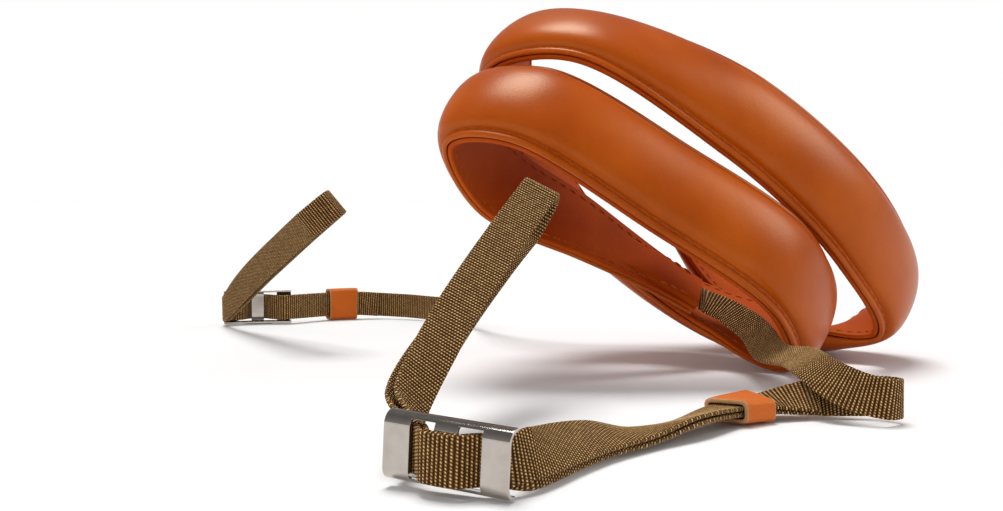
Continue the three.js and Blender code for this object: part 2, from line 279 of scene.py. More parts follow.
# %% Routes of the tails
WEBBING = SimpleNamespace(width=9.8, thick=1.1, step=0.3, solid_step=4.0, sewn=3, lead=4.0, spread=1.4)
POCKET = SimpleNamespace(clear=0.45, full=15.0, closed=30.0)
UP = np.array((0.0, 0.0, 1.0))

# Columns: x, y, z, lean of the width from upright in degrees
SINGLE_ROWS = {
    "near": [(70, 386, 17.8, -62), (75.8, 375, 13.5, -63), (76.2, 352, 9.7, -65), (78.2, 328, 11.6, -62),
             (77.5, 308, 12, -58), (80.5, 299, 9.8, -35), (86, 294.5, 7.6, -10), (92, 293, 6.4, 0),
             (95.8, 297, 6, 0), (92, 301.5, 5.8, 8), (85, 303.8, 5.2, 26)],
    "far": [(15, 445, 71, 58), (3, 455, 55, 40), (-6, 473, 24, 25), (-11, 490, 8.5, 12), (-20, 507, 5.7, 4),
            (-40, 523, 5.7, 0)],
}
# Columns as above, then the slip between the two layers
DOUBLED_ROWS = {
    "near": [(77, 304.8, 5, 46, 0), (70, 304, 4.3, 66, 0), (63, 302, 3.5, 85, 0), (53.4, 295.2, 3.3, 94, 0),
             (42, 281.2, 3.1, 107, 0), (31, 271, 2.5, 90, 0), (21, 259.5, 4.2, 61, 0.3),
             (13, 246, 5.3, 43, 0.9), (8.8, 237, 5.9, 30, 1.3), (5, 229.8, 6.4, 16, 1.9)],
    "far": [(-52, 526, 6, 0, 0), (-61, 524.5, 6.6, 0, 0), (-72.5, 520, 6.6, 0, 0)],
}
# Columns as above, but with the spread between the two layers last
LUG_ROWS = {
    "near": [(-19.4, 252, 12.5, -36, 2.6), (-12, 278, 25.5, -58, 6.5), (-0.3, 306, 41, -60, 11),
             (7.8, 325, 50.5, -60, 15)],
    "far": [(-105, 488, 11.5, 8, 2), (-92, 468, 23, 22, 5), (-73, 441, 38, 30, 10), (-61, 424, 47, 32, 15)],
}
# Columns: along the slider and out of its face
THREADING = [(10.4, -4.4), (8.6, -3.6), (7.2, -2.95), (6, -1.85), (4.9, -0.45), (3.9, 0.85), (2.9, 1.65),
             (1.6, 1.95), (0, 2), (-1.6, 1.95), (-2.9, 1.65), (-3.9, 0.85), (-4.9, -0.45), (-6, -1.85),
             (-7.2, -2.95), (-8.8, -3.35), (-10.6, -3.5), (-12, -4.2), (-12.8, -5.8), (-12.7, -8)]
# The doubled row at each keeper's far mouth; the next row is its near mouth
KEEPER_ROW = {"near": 2, "far": 1}


def stack_controls(tail):
    """Points, width directions, spreads and slips of the doubled stretch's middle line."""
    matrix = slider_matrix(tail)
    sense = SLIDER_PLACE[tail].sense
    middles = [matrix @ Vector((along * sense, -out, -SLIDER.webbing_drop)) for along, out in THREADING]
    threaded = [(*middle, 0.0, 0.0) for middle in middles]
    rows = np.array(DOUBLED_ROWS[tail] + threaded + LUG_ROWS[tail], float)
    loose = np.arange(len(rows)) >= len(rows) - len(LUG_ROWS[tail])
    spreads = np.where(loose, rows[:, 4], WEBBING.spread)
    slips = np.where(loose, 0.0, rows[:, 4])
    return rows[:, :3], turned_widths(rows[:, :3], UP, rows[:, 3]), spreads, slips


def tail_controls(tail):
    """Points and width directions of the whole tail, from its sewn end to its free end."""
    points, widths, spreads, slips = stack_controls(tail)
    rows = rows_along(points, WEBBING.solid_step)
    stack = route_at(points, widths, rows)
    spread, slip = (np.interp(rows, np.arange(len(points)), values)[:, None] for values in (spreads, slips))
    apart = (stack.out * spread - stack.wide * slip) / 2
    rear = stack.place + apart
    front = (stack.place - apart)[::-1]
    apex = stack.place[-1] + stack.heading[-1] * spread[-1] / 2
    tip = slice(WEBBING.sewn - 1, None, -1) if tail == "near" else slice(-WEBBING.sewn, None)
    pocket = strip_solid.place[tip] - strip_solid.out[tip] * (POCKET.clear + WEBBING.thick / 2)
    pocket_wide = strip_solid.wide[tip]
    lead = pocket[-1] + unit(pocket[-1] - pocket[-2]) * WEBBING.lead
    single = np.array(SINGLE_ROWS[tail], float)
    single_wide = turned_widths(single[:, :3], UP, single[:, 3], before=lead, after=rear[0])
    tail_places = np.vstack([pocket, lead, single[:, :3], rear, apex, front])
    tail_widths = np.vstack([pocket_wide, pocket_wide[-1], single_wide,
                             stack.wide, stack.wide[-1], stack.wide[::-1]])
    return tail_places, tail_widths


tail_routes = {}
for tail in TAILS:
    points, widths = tail_controls(tail)
    finest = route_at(points, widths, rows_along(points, WEBBING.step))
    tail_routes[tail] = points, widths, finest
    print(tail, "webbing", round(finest.along[-1]), "mm long")

# %% [markdown]
# ## From sections to meshes
#
# A loft is a grid of section points with faces between neighbouring sections. Building the grid directly
# keeps every edge where the strap bends, which a remesh would lose, and lets each point carry a UV of
# millimetres along and across the strap. The woven cloth needs that UV, because a weave follows its strap
# round each bend.

# %% Mesh helpers
BODY = "root"
SHARP_EDGE = 40.0


def loft_faces(rings, count, capped=True):
    grid = np.arange(rings * count).reshape(rings, count)
    beside = np.roll(grid, -1, axis=1)
    quads = np.stack([grid[:-1], grid[1:], beside[1:], beside[:-1]], axis=-1).reshape(-1, 4).tolist()
    return quads + ([grid[0].tolist(), grid[-1][::-1].tolist()] if capped else [])


def new_piece(name, points, faces, materials, nodes=(), uv=None, sharp=SHARP_EDGE):
    """A smooth-shaded piece that rides on the strap and stands for the named solids."""
    mesh = bpy.data.meshes.new(name)
    mesh.from_pydata(in_metres(points).tolist(), [], faces)
    for material in materials:
        mesh.materials.append(material)
    if uv is not None:
        corners = np.zeros(len(mesh.loops), int)
        mesh.loops.foreach_get("vertex_index", corners)
        mesh.uv_layers.new(name="strap_mm").data.foreach_set("uv", uv[corners].ravel())
    mesh.shade_smooth()
    mesh.set_sharp_from_angle(angle=math.radians(sharp))
    piece = bpy.data.objects.new(name, mesh)
    bpy.context.scene.collection.objects.link(piece)
    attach(piece, BODY)
    if nodes:
        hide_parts(*nodes)
    print(name, len(mesh.vertices), "points")
    return piece


print("mesh helpers ready")

# %% [markdown]
# ## A small way to write shaders
#
# Node trees get long when every link is written out. The helper adds one node, sets or links its inputs by
# name and hands it back, so a shader reads from top to bottom like a recipe.

# %% Shader helper
class Recipe:
    def __init__(self, tree):
        self.tree = tree

    def node(self, kind, inputs=(), **settings):
        made = self.tree.nodes.new(kind)
        for name, value in settings.items():
            setattr(made, name, value)
        for name, value in dict(inputs).items():
            self.put(value, made.inputs[name])
        return made

    def put(self, value, socket):
        """Links an output to the socket, or sets a constant on it."""
        if isinstance(value, bpy.types.NodeSocket):
            self.tree.links.new(value, socket)
        else:
            socket.default_value = value

    def math(self, operation, *values):
        return self.node("ShaderNodeMath", dict(enumerate(values)), operation=operation).outputs[0]

    def ramp(self, factor, *stops):
        made = self.node("ShaderNodeValToRGB", {"Fac": factor})
        while len(made.color_ramp.elements) < len(stops):
            made.color_ramp.elements.new(0.5)
        for element, (position, colour) in zip(made.color_ramp.elements, stops):
            element.position = position
            element.color = colour
        return made.outputs["Color"]


def new_group(name, inputs, outputs):
    tree = bpy.data.node_groups.new(name, "ShaderNodeTree")
    for title, kind, value in inputs:
        tree.interface.new_socket(title, in_out="INPUT", socket_type=kind).default_value = value
    for title, kind in outputs:
        tree.interface.new_socket(title, in_out="OUTPUT", socket_type=kind)
    recipe = Recipe(tree)
    return tree, recipe, recipe.node("NodeGroupInput").outputs, recipe.node("NodeGroupOutput").inputs


def new_material(name):
    material = bpy.data.materials.new(name)
    material.use_nodes = True
    recipe = Recipe(material.node_tree)
    return material, recipe, material.node_tree.nodes["Principled BSDF"].inputs


def millimetres(recipe):
    """Object coordinates in millimetres, for patterns that don't depend on a UV."""
    coordinates = recipe.node("ShaderNodeTexCoord").outputs["Object"]
    scaled = recipe.node("ShaderNodeVectorMath", {0: coordinates, 1: (1 / MM,) * 3}, operation="MULTIPLY")
    return scaled.outputs[0]


def srgb(red, green, blue):
    """A screen colour of 0 to 255 as the linear colour that shaders use."""
    parts = np.array((red, green, blue)) / 255.0
    linear = np.where(parts <= 0.04045, parts / 12.92, ((parts + 0.055) / 1.055) ** 2.4)
    return (*linear.tolist(), 1.0)


print("shader helper ready")

# %% [markdown]
# ## Leather
#
# Vegetable-tanned leather has a fine pebbled grain, broad clouds of lighter and darker dye, and pores. All
# the leathers here share that, so it is one node group with a height for the bump, a cloud mask for the
# colour and a pore mask that roughens the shine. Each leather brings its own colours and grain size.

# %% Leather grain group
PEBBLE_FLATNESS = 3.0
PEBBLE_RELIEF, CREASE_RELIEF = 0.55, 0.9
grain_tree, grain, taken, given = new_group(
    "leather_grain",
    [("Place", "NodeSocketVector", (0, 0, 0)), ("Grain Size", "NodeSocketFloat", 0.9),
     ("Cloud Size", "NodeSocketFloat", 30.0)],
    [("Height", "NodeSocketFloat"), ("Clouds", "NodeSocketFloat"), ("Pores", "NodeSocketFloat")])
fineness = grain.math("DIVIDE", 1.0, taken["Grain Size"])
pebbles = grain.node("ShaderNodeTexVoronoi", {"Vector": taken["Place"], "Scale": fineness},
                     feature="DISTANCE_TO_EDGE").outputs["Distance"]
creases = grain.node("ShaderNodeTexNoise", {"Vector": taken["Place"], "Scale": 0.35, "Detail": 5.0})
breadth = grain.math("DIVIDE", 1.0, taken["Cloud Size"])
clouds = grain.node("ShaderNodeTexNoise", {"Vector": taken["Place"], "Detail": 4.0, "Scale": breadth})
flat_pebbles = grain.math("MINIMUM", grain.math("MULTIPLY", pebbles, PEBBLE_FLATNESS), 1.0)
height = grain.math("ADD", grain.math("MULTIPLY", flat_pebbles, PEBBLE_RELIEF),
                    grain.math("MULTIPLY", creases.outputs["Fac"], CREASE_RELIEF))
grain.put(height, given["Height"])
grain.put(clouds.outputs["Fac"], given["Clouds"])
grain.put(flat_pebbles, given["Pores"])
print("leather grain group ready")

# %% [markdown]
# One function makes every leather. The face is dyed and waxed, so it is the smoothest. The backing and the
# keepers are duller, and a raw cut edge is pale and rough. A warm tint of the sheen keeps the white room
# from greying the brown.

# %% Leather materials
WARM_SHEEN = (1.0, 0.9, 0.5, 1.0)
CLOUD_RANGE = 0.32, 0.68
PORE_TINT = 0.22
GRAIN_DEPTH = 0.15 * MM


def leather(name, colours, grain_size, shine, gloss, bump):
    """colours run from the darkest cloud to the lightest; shine is the roughness of pore and of grain,
    and gloss how much the surface mirrors."""
    material, recipe, surface = new_material(name)
    skin = recipe.node("ShaderNodeGroup", {"Place": millimetres(recipe), "Grain Size": grain_size},
                       node_tree=grain_tree).outputs
    stops = zip(np.linspace(*CLOUD_RANGE, len(colours)).tolist(), colours)
    clouded = recipe.ramp(skin["Clouds"], *stops)
    tint = recipe.math("MULTIPLY_ADD", skin["Pores"], -PORE_TINT, PORE_TINT)
    pored = recipe.node("ShaderNodeMix", {"Factor": tint, "A": clouded, "B": colours[0]}, data_type="RGBA")
    relief = recipe.node("ShaderNodeBump", {"Height": skin["Height"], "Strength": bump,
                                            "Distance": GRAIN_DEPTH})
    rough = recipe.math("MULTIPLY_ADD", skin["Pores"], shine[1] - shine[0], shine[0])
    recipe.put(pored.outputs["Result"], surface["Base Color"])
    recipe.put(rough, surface["Roughness"])
    recipe.put(gloss, surface["Specular IOR Level"])
    recipe.put(WARM_SHEEN, surface["Specular Tint"])
    recipe.put(relief.outputs["Normal"], surface["Normal"])
    return material


saddle = leather("saddle_leather", [srgb(163, 66, 3), srgb(176, 75, 5), srgb(186, 85, 10)],
                 grain_size=0.9, shine=(0.34, 0.3), gloss=0.3, bump=0.16)
lining = leather("backing_leather", [srgb(154, 56, 5), srgb(172, 68, 8), srgb(182, 79, 13)],
                 grain_size=0.7, shine=(0.66, 0.55), gloss=0.12, bump=0.35)
tan = leather("keeper_leather", [srgb(186, 84, 22), srgb(200, 97, 30), srgb(210, 110, 42)],
              grain_size=0.8, shine=(0.55, 0.42), gloss=0.25, bump=0.4)
raw = leather("raw_edge_leather", [srgb(150, 100, 62), srgb(186, 136, 90), srgb(202, 158, 112)],
              grain_size=0.5, shine=(0.9, 0.8), gloss=0.1, bump=1.0)
print("leathers:", saddle.name, lining.name, tan.name, raw.name)

# %% [markdown]
# ## The padded strip
#
# The face leather is pulled over soft padding, so its section is a low crown between two flat margins. A
# row of stitches runs in a groove where each margin meets the crown. A cloth simulation would puff a short
# cushion well, but on a long coiled strip it would move the turns, so the crown is lofted along the route
# and the fullness comes from the section. Its points are given from the foot of the crown, so they follow
# the taper to the tips.

# %% Face leather
CROWN_POWER = 0.8
CROWN_POINTS = 26
GROOVE_OUT, GROOVE_HEIGHT = 0.55, 1.22
# Columns: out past the foot of the crown, and height. From the crown over the groove and round the edge
MARGIN_PROFILE = np.array([
    (0.30, 1.32), (GROOVE_OUT, GROOVE_HEIGHT), (0.85, 1.38), (1.30, 1.52), (1.90, 1.52), (2.35, 1.42),
    (2.65, 1.15), (2.80, 0.75), (2.72, 0.32), (2.45, 0.05),
])
angles = np.linspace(math.pi, 0.0, CROWN_POINTS)
crown_height = mix(PAD.tip_crown, PAD.crown, taper)[:, None]
foot = (half_width - PAD.margin)[:, None]
margin_out = np.tile(MARGIN_PROFILE[:, 1], (stations, 1))
crown_out = PAD.edge + crown_height * np.sin(angles) ** CROWN_POWER
left_across = -foot - MARGIN_PROFILE[::-1, 0]
right_across = foot + MARGIN_PROFILE[:, 0]
face_across = np.hstack([left_across, foot * np.cos(angles), right_across])
face_out = np.hstack([margin_out[:, ::-1], crown_out, margin_out])
face_rings = section_points(strip, face_across, face_out)
pad_face = new_piece("face_leather", face_rings.reshape(-1, 3), loft_faces(*face_rings.shape[:2]),
                     [saddle], ["pad_face"])

# %% [markdown]
# The backing is a flat leather with slightly rounded edges. At both tips the end of the webbing is sewn in
# between the two leathers. The backing sags round it there, and its margins stay closed against the face.

# %% Backing leather
BACK_ROUND = 0.45
WALL_START, WALL_END, WALL_POINTS = 0.2, 1.5, 5
POCKET_WALL = WEBBING.width / 2 + WALL_START, WEBBING.width / 2 + WALL_END
parting = 1 - smooth(from_tip, POCKET.full, POCKET.closed)
sag = (parting * (2 * POCKET.clear + WEBBING.thick - GAP))[:, None]


def back_height(across):
    """Height of the backing's upper face, with a row for each station of the strip."""
    return -GAP - sag * (1 - smooth(np.abs(across), *POCKET_WALL))


inner = half_width[:, None] - BACK_ROUND
edge_turns = np.radians([0, 30, 60, 90])
edge_out = BACK_ROUND * np.cos(edge_turns)
edge_sunk = BACK_ROUND * (1 - np.sin(edge_turns))
wall = np.linspace(*POCKET_WALL, WALL_POINTS)
walls = np.broadcast_to(np.concatenate([-wall[::-1], wall]), (stations, 2 * WALL_POINTS))
upper_across = np.hstack([-inner - edge_out, walls, inner + edge_out[::-1]])
rounding = np.concatenate([edge_sunk, np.zeros(2 * WALL_POINTS), edge_sunk[::-1]])
upper_out = back_height(upper_across)
back_across = np.hstack([upper_across, upper_across[:, ::-1]])
back_out = np.hstack([upper_out - rounding, (upper_out - PAD.back + rounding)[:, ::-1]])
back_rings = section_points(strip, back_across, back_out)
new_piece("backing_leather", back_rings.reshape(-1, 3), loft_faces(*back_rings.shape[:2]),
          [lining], ["pad_back"])

# %% [markdown]
# ## Woven webbing
#
# The tails are a heavy narrow-woven cotton tape. Thick cords run across the tape as ribs, and the warp
# threads go over them as rows of small beads. The ribs are real relief, with a few stations to each. The
# beads are too many for that, so two waves of the UV give the rib and the bead, and their product is the
# height of the weave.

# %% Weave group
RIB_PITCH, THREAD_PITCH, THREAD_SLANT = 0.92, 0.66, 0.6
RIB_STAGGER = 0.618
RIB_POWER, THREAD_POWER, THREAD_RELIEF = 1.5, 1.1, 0.72
weave_tree, weave, taken, given = new_group(
    "tape_weave",
    [("Place", "NodeSocketVector", (0, 0, 0)), ("Rib Pitch", "NodeSocketFloat", RIB_PITCH),
     ("Thread Pitch", "NodeSocketFloat", THREAD_PITCH), ("Slant", "NodeSocketFloat", THREAD_SLANT)],
    [("Height", "NodeSocketFloat"), ("Shade", "NodeSocketFloat")])
place = weave.node("ShaderNodeSeparateXYZ", {0: taken["Place"]}).outputs
rib_place = weave.math("DIVIDE", place[0], taken["Rib Pitch"])
rib_number = weave.math("FLOOR", rib_place)
rib_part = weave.math("FRACT", rib_place)
stagger = weave.math("FRACT", weave.math("MULTIPLY", rib_number, RIB_STAGGER))
slant = weave.math("MULTIPLY_ADD", rib_part, taken["Slant"], stagger)
thread_place = weave.math("ADD", weave.math("DIVIDE", place[1], taken["Thread Pitch"]), slant)
thread_part = weave.math("FRACT", thread_place)
rib = weave.math("POWER", weave.math("SINE", weave.math("MULTIPLY", rib_part, math.pi)), RIB_POWER)
thread = weave.math("POWER", weave.math("SINE", weave.math("MULTIPLY", thread_part, math.pi)), THREAD_POWER)
bead = weave.math("MULTIPLY_ADD", thread, THREAD_RELIEF, 1 - THREAD_RELIEF)
cell = weave.node("ShaderNodeCombineXYZ", {0: rib_number, 1: weave.math("FLOOR", thread_place)}).outputs[0]
shade = weave.node("ShaderNodeTexWhiteNoise", {"Vector": cell}, noise_dimensions="2D").outputs["Value"]
weave.put(weave.math("MULTIPLY", rib, bead), given["Height"])
weave.put(shade, given["Shade"])
print("tape weave group ready")

# %% [markdown]
# The height also colours the cloth: painted shade between the threads, the cloth's own brown midway up
# and a painted highlight on top of each bead. Every bead is a little lighter or darker than the next, as
# spun cotton is.

# %% Webbing material
WEAVE_DEPTH = 0.4 * MM
webbing_cloth, recipe, surface = new_material("olive_webbing")
strap_mm = recipe.node("ShaderNodeUVMap", uv_map="strap_mm").outputs["UV"]
cloth = recipe.node("ShaderNodeGroup", {"Place": strap_mm}, node_tree=weave_tree).outputs
# Colour from the weave's height: painted shade in the grooves, own brown midway, painted highlight on bead
# tops
bead_highlight_and_groove_shade = recipe.ramp(cloth["Height"], (0.0, srgb(72, 44, 20)), (0.35, srgb(102, 68, 34)),
                      (0.65, srgb(148, 106, 60)), (0.92, srgb(255, 214, 148)))
darker = recipe.ramp(cloth["Shade"], (0.0, srgb(206, 196, 190)), (1.0, srgb(255, 255, 255)))
tinted = recipe.node("ShaderNodeMix", {"Factor": 1.0, "A": bead_highlight_and_groove_shade, "B": darker}, data_type="RGBA",
                     blend_type="MULTIPLY")
relief = recipe.node("ShaderNodeBump", {"Height": cloth["Height"], "Strength": 0.8,
                                        "Distance": WEAVE_DEPTH})
recipe.put(tinted.outputs["Result"], surface["Base Color"])
recipe.put(0.55, surface["Roughness"])
recipe.put(0.25, surface["Specular IOR Level"])
recipe.put(WARM_SHEEN, surface["Specular Tint"])
recipe.put(relief.outputs["Normal"], surface["Normal"])
print("webbing material ready")

# %% [markdown]
# The tape's section is flat with rounded rims. Each route was measured finely above, so that the stations
# can be set a fixed share of a rib apart, and the section is thinned in the groove between each two ribs.

# %% Webbing tails
RIB_STATIONS = 4
RIB_DEPTH = 0.24
FLAT_SHARE, FLAT_POINTS = 0.7, 7
# Half a section, across and out as shares of half the width and half the thickness
RIM = np.array([(-1.0, 0.0), (-0.985, 0.6), (-0.94, 0.95), (-0.85, 1.0)])
flat_row = np.array([(share, 1.0) for share in np.linspace(-FLAT_SHARE, FLAT_SHARE, FLAT_POINTS)])
upper = np.vstack([RIM, flat_row, RIM[::-1] * (-1, 1)])
half_tape, half_thick = WEBBING.width / 2, WEBBING.thick / 2
section = np.vstack([upper, upper[-2:0:-1] * (1, -1)]) * (half_tape, half_thick)
for tail, (points, widths, finest) in tail_routes.items():
    stops = np.arange(0.0, finest.along[-1], RIB_PITCH / RIB_STATIONS)
    route = route_at(points, widths, np.interp(stops, finest.along, finest.rows))
    groove = 1 - np.abs(np.sin(math.pi * stops / RIB_PITCH))
    ribbed = section[:, 1] * (1 - groove[:, None] * RIB_DEPTH / half_thick)
    rings = section_points(route, section[:, 0], ribbed)
    uv = np.stack([np.repeat(stops, len(section)), np.tile(section[:, 0] + half_tape, len(stops))], axis=1)
    new_piece(f"{tail}_webbing_tape", rings.reshape(-1, 3), loft_faces(*rings.shape[:2]), [webbing_cloth],
              [f"{tail}_webbing"], uv)

# %% [markdown]
# ## Keepers
#
# A keeper is a strip of the same leather closed into a sleeve round both layers of webbing. Its outside is
# dyed, but both mouths show the paler cut edge, so the rim faces get a material of their own.

# %% Keeper sleeves
KEEPER = SimpleNamespace(wall=1.0, height=10.8, opening=3.5, round=1.6, hole_round=1.0, mouth=1.0)
KEEPER_STATIONS, WALL_RINGS, CORNER_POINTS = 120, 8, 6
# Columns: in from the mouth, depth through the wall from inside to outside
RIM_PROFILE = np.array([(0.5, 0.0), (0.12, 0.06), (0.0, 0.3), (0.0, 0.7), (0.12, 0.94), (0.5, 1.0)])


def rounded_section(width, depth, radius):
    """Points of a rounded rectangle, across and out, in the order of the solids' sections."""
    turns = np.linspace(0.0, math.pi / 2, CORNER_POINTS)
    points = []
    for sign_x, sign_y, start in ((-1, -1, 1.5), (-1, 1, 1.0), (1, 1, 0.5), (1, -1, 0.0)):
        centre = np.array((sign_x * (width / 2 - radius), sign_y * (depth / 2 - radius)))
        angle = start * math.pi - turns
        points.append(centre + radius * np.stack([np.cos(angle), np.sin(angle)], axis=1))
    return np.vstack(points)


def add_keeper(tail):
    points, widths = stack_controls(tail)[:2]
    rows = KEEPER_ROW[tail] + np.linspace(0.0, 1.0, KEEPER_STATIONS)
    along_rows = route_at(points, widths, rows).along
    length = along_rows[-1]
    inside = np.linspace(length - KEEPER.mouth, KEEPER.mouth, WALL_RINGS)
    profile = np.vstack([
        np.stack([inside, np.zeros(WALL_RINGS)], axis=1),
        RIM_PROFILE,
        np.stack([inside[::-1], np.ones(WALL_RINGS)], axis=1),
        np.stack([length - RIM_PROFILE[::-1, 0], RIM_PROFILE[::-1, 1]], axis=1),
    ])
    hole = rounded_section(KEEPER.height, KEEPER.opening, KEEPER.hole_round)
    skin = rounded_section(KEEPER.height + 2 * KEEPER.wall, KEEPER.opening + 2 * KEEPER.wall, KEEPER.round)
    rings = []
    for along, depth in profile:
        station = route_at(points, widths, np.array([np.interp(along, along_rows, rows)]))
        ring = mix(hole, skin, depth)
        rings.append(section_points(station, ring[None, :, 0], ring[None, :, 1])[0])
    count = len(hole)
    total = len(rings) * count
    closed = loft_faces(len(rings) + 1, count, capped=False)
    faces = [[index % total for index in face] for face in closed]
    piece = new_piece(f"{tail}_keeper_sleeve", np.vstack(rings), faces, [tan, raw],
                      [f"{tail}_keeper"])
    near_rim = range(WALL_RINGS, WALL_RINGS + len(RIM_PROFILE) - 1)
    far_rim = range(len(profile) - len(RIM_PROFILE), len(profile) - 1)
    for face, polygon in enumerate(piece.data.polygons):
        polygon.material_index = int(face // count in near_rim or face // count in far_rim)


for tail in TAILS:
    add_keeper(tail)

# %% [markdown]
# ## Plated sliders
#
# Each slider is one strip of sheet metal with two windows cut in it, folded into a shallow channel, so that
# the bars roll over into a thin rail along the top and bottom. Nickel plating is bright but handled, so
# smudges roughen it in patches and a faint polish runs along the sheet.

# %% Plated metal
POLISH_STRETCH = (1.0, 1.0, 0.08)
SMUDGE_ROUGHNESS, POLISHED_ROUGHNESS = 0.1, 0.05
POLISH_DEPTH = 0.05 * MM
nickel, recipe, surface = new_material("plated_nickel")
place = millimetres(recipe)
smudge = recipe.node("ShaderNodeTexNoise", {"Vector": place, "Scale": 0.25, "Detail": 6.0}).outputs["Fac"]
drawn = recipe.node("ShaderNodeVectorMath", {0: place, 1: POLISH_STRETCH}, operation="MULTIPLY").outputs[0]
polish = recipe.node("ShaderNodeTexNoise", {"Vector": drawn, "Scale": 6.0, "Detail": 3.0}).outputs["Fac"]
plating = recipe.ramp(smudge, (0.3, srgb(176, 167, 159)), (0.7, srgb(190, 182, 174)))
relief = recipe.node("ShaderNodeBump", {"Height": polish, "Strength": 0.06, "Distance": POLISH_DEPTH})
recipe.put(plating, surface["Base Color"])
recipe.put(1.0, surface["Metallic"])
recipe.put(recipe.math("MULTIPLY_ADD", smudge, SMUDGE_ROUGHNESS, POLISHED_ROUGHNESS), surface["Roughness"])
recipe.put(relief.outputs["Normal"], surface["Normal"])
print("plated metal ready")

# %% [markdown]
# The sheet is built as a grid of cells along the slider and round its folds, once for each face of the
# sheet. The cells of the two windows are left out, every free side of a cell gets a wall through the sheet,
# and a small bevel softens every cut edge so that it catches the light.

# %% Folded sheet of the sliders
RAIL_STEPS, FOLD_STEPS = 6, 5
WINDOW_CELLS = [1, 3]
EDGE_BEVEL, BEVEL_STEPS, BEVEL_ANGLE = 0.16, 3, 50.0
SHARP_FOLD = 60.0


def folded_profile(inset):
    """The folded sheet's outline, back and up, at a depth below its outer face.
    One of its points is the window's edge."""
    top, radius = SLIDER.height / 2, SLIDER.corner - inset
    window_turn = math.acos((SLIDER.window_height / 2 - top + SLIDER.corner) / radius)
    turns = np.concatenate([np.linspace(0.0, window_turn, RAIL_STEPS + 1),
                            np.linspace(window_turn, math.pi / 2, FOLD_STEPS + 1)[1:]])
    back = SLIDER.corner - radius * np.sin(turns)
    up = top - SLIDER.corner + radius * np.cos(turns)
    upper = np.vstack([(SLIDER.depth, top - inset), np.stack([back, up], axis=1)])
    return np.vstack([upper, upper[::-1] * (1, -1)])


def add_slider(tail):
    window = SLIDER.middle_bar / 2, SLIDER.length / 2 - SLIDER.end_bar
    lines = np.array([-SLIDER.length / 2, -window[1], -window[0], window[0], window[1], SLIDER.length / 2])
    profiles = folded_profile(0.0), folded_profile(SLIDER.sheet)
    points = np.array([(x, y, z) for profile in profiles for x in lines for y, z in profile])
    count = len(profiles[0])
    below = len(lines) * count
    kept = np.ones((len(lines) - 1, count - 1), bool)
    kept[WINDOW_CELLS, RAIL_STEPS + 1:-RAIL_STEPS - 1] = False
    faces = []
    for i, k in zip(*np.nonzero(kept)):
        a, b, c, d = (i * count + k, (i + 1) * count + k, (i + 1) * count + k + 1, i * count + k + 1)
        faces += [[a, b, c, d], [d + below, c + below, b + below, a + below]]
        for (p, q), (di, dk) in (((b, a), (0, -1)), ((c, b), (1, 0)), ((d, c), (0, 1)), ((a, d), (-1, 0))):
            ni, nk = i + di, k + dk
            if not (0 <= ni < kept.shape[0] and 0 <= nk < kept.shape[1] and kept[ni, nk]):
                faces.append([p, q, q + below, p + below])
    used = np.unique(np.concatenate([np.array(face) for face in faces]))
    renumber = {old: new for new, old in enumerate(used)}
    faces = [[renumber[p] for p in face] for face in faces]
    matrix = np.array(slider_matrix(tail))
    placed = points[used] @ matrix[:3, :3].T + matrix[:3, 3]
    piece = new_piece(f"{tail}_slider_plate", placed, faces, [nickel], [f"{tail}_slider"],
                      sharp=SHARP_FOLD)
    bevel = piece.modifiers.new("softened_edges", "BEVEL")
    bevel.width = EDGE_BEVEL * MM
    bevel.segments = BEVEL_STEPS
    bevel.limit_method = "ANGLE"
    bevel.angle_limit = math.radians(BEVEL_ANGLE)
    bevel.harden_normals = True


for tail in TAILS:
    add_slider(tail)

# %% [markdown]
# ## Stitches
#
# A waxed thread runs in the groove of each margin on the face, and straight below it on the backing. Each
# stitch is a short fat spindle of thread whose ends dive into the leather. They are real geometry, because
# the light that catches them is what tells the eye that the strip is sewn.

# %% Thread material
thread_finish, recipe, surface = new_material("waxed_thread")
place = millimetres(recipe)
twist = recipe.node("ShaderNodeTexNoise", {"Vector": place, "Scale": 1.4, "Detail": 2.0}).outputs["Fac"]
waxed = recipe.ramp(twist, (0.3, srgb(150, 62, 14)), (0.7, srgb(184, 88, 32)))
recipe.put(waxed, surface["Base Color"])
recipe.put(0.6, surface["Roughness"])
recipe.put(0.15, surface["Specular IOR Level"])
recipe.put(WARM_SHEEN, surface["Specular Tint"])
print("thread ready")

# %% [markdown]
# The stitches are set out at one pitch along the strip. Each is a ring of thread swept over a short profile
# and slanted a little across the margin. All stitches have the same faces, so only their points are built.

# %% Rows of stitches
STITCH = SimpleNamespace(pitch=3.6, length=2.7, radius=0.27, slant=8.0, first=6.0, lift=0.12)
STITCH_INSET = PAD.margin - GROOVE_OUT
THREAD_SIDES = 6
# Columns: place along the stitch from -1 to 1, thickness, depth below its top
STITCH_PROFILE = np.array([(-1.0, 0.45, 0.34), (-0.8, 0.8, 0.1), (-0.35, 1.0, 0.0), (0.35, 1.0, 0.0),
                           (0.8, 0.8, 0.1), (1.0, 0.45, 0.34)])


def at_lengths(values, along):
    """Vectors of the strip's stations, read at the given lengths along it."""
    return np.stack([np.interp(along, strip.along, values[:, k]) for k in range(3)], axis=-1)


